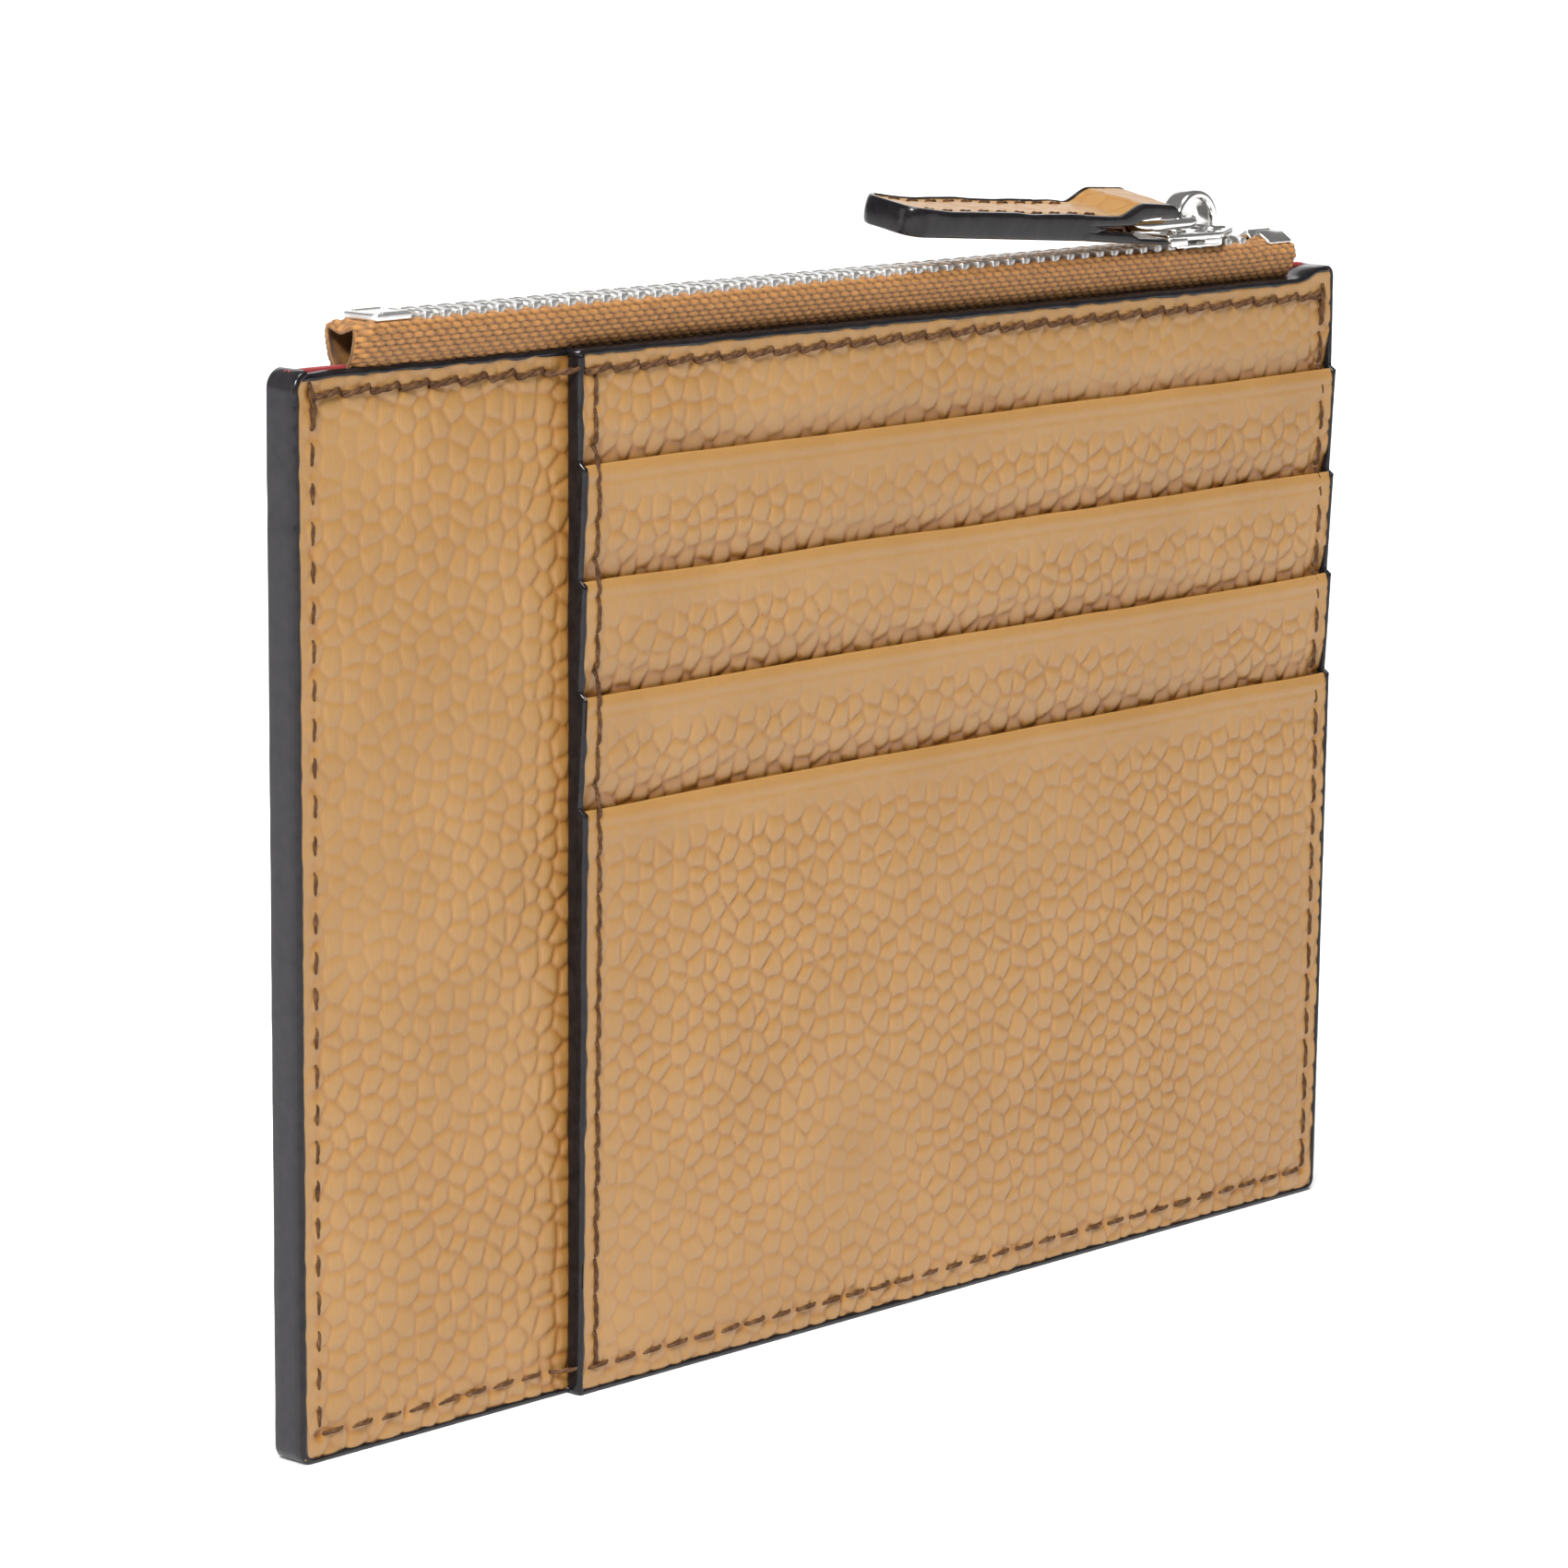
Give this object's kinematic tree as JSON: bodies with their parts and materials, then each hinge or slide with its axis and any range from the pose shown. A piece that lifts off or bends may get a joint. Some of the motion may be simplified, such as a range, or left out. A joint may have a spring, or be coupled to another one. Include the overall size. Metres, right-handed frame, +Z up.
{
  "type": "zippered pouch",
  "caption": "Flat zipped leather card pouch with stepped card pockets on the front, a side slip pocket, a metal zip along the top and a swinging leather pull.",
  "frame": {"origin": "under the middle of the pouch, on the bottom edge that it stands on", "axes": "+X along the zip towards the closed slider, -Y out of the front with the card pockets, +Z up to the zip"},
  "size_m": [0.13, 0.0074, 0.0988],
  "materials": {
    "grain_leather": "pebble-grain tan leather, satin",
    "edge_paint": "thick near-black edge paint, glossy",
    "red_lining": "plain red woven lining",
    "pocket_cloth": "thin tan woven cloth",
    "stiffener_board": "fibre reinforcement board, matt",
    "thread": "brown twisted polyester thread",
    "zip_tape": "golden-brown woven zip tape",
    "steel": "polished nickel-plated metal"
  },
  "bodies": {
    "pouch": {"front_panel": "grain_leather", "back_panel": "grain_leather", "edge_coat": "edge_paint", "front_stiffener": "stiffener_board", "back_stiffener": "stiffener_board", "front_lining": "red_lining", "back_lining": "red_lining", "stack_backing": "pocket_cloth", "header_strip": "grain_leather", "card_pocket_1": "grain_leather", "card_pocket_2": "grain_leather", "card_pocket_3": "grain_leather", "card_pocket_4": "grain_leather", "pocket_lining_1": "pocket_cloth", "pocket_lining_2": "pocket_cloth", "pocket_lining_3": "pocket_cloth", "stack_edge_coat": "edge_paint", "front_seam_thread": "thread", "back_seam_thread": "thread", "stack_seam_thread": "thread", "zip_tape_front": "zip_tape", "zip_tape_back": "zip_tape", "teeth_front": "steel", "teeth_back": "steel", "bottom_stop": "steel", "top_stop_front": "steel", "top_stop_back": "steel"},
    "slider": {"slider_top_plate": "steel", "slider_bottom_plate": "steel", "slider_bail": "steel"},
    "ring": {"pull_ring": "steel"},
    "pull": {"pull_tongue": "grain_leather", "pull_upper_leaf": "grain_leather", "pull_lower_leaf": "grain_leather", "pull_thread_top": "thread", "pull_thread_bottom": "thread"}
  },
  "joints": [
    {"name": "slider_travel", "type": "slide", "parent": "pouch", "child": "slider", "axis": [-1, 0, 0.0096], "range_m": [0, 0.094]},
    {"name": "ring_swing", "type": "hinge", "parent": "slider", "child": "ring", "pos_m": [0.04736, 0, 0.09415], "axis": [0, 1, 0], "range_deg": [0, 170]},
    {"name": "pull_swing", "type": "hinge", "parent": "ring", "child": "pull", "pos_m": [0.03796, 0, 0.09426], "axis": [0, 1, 0], "range_deg": [-4.5, 5.5]}
  ]
}
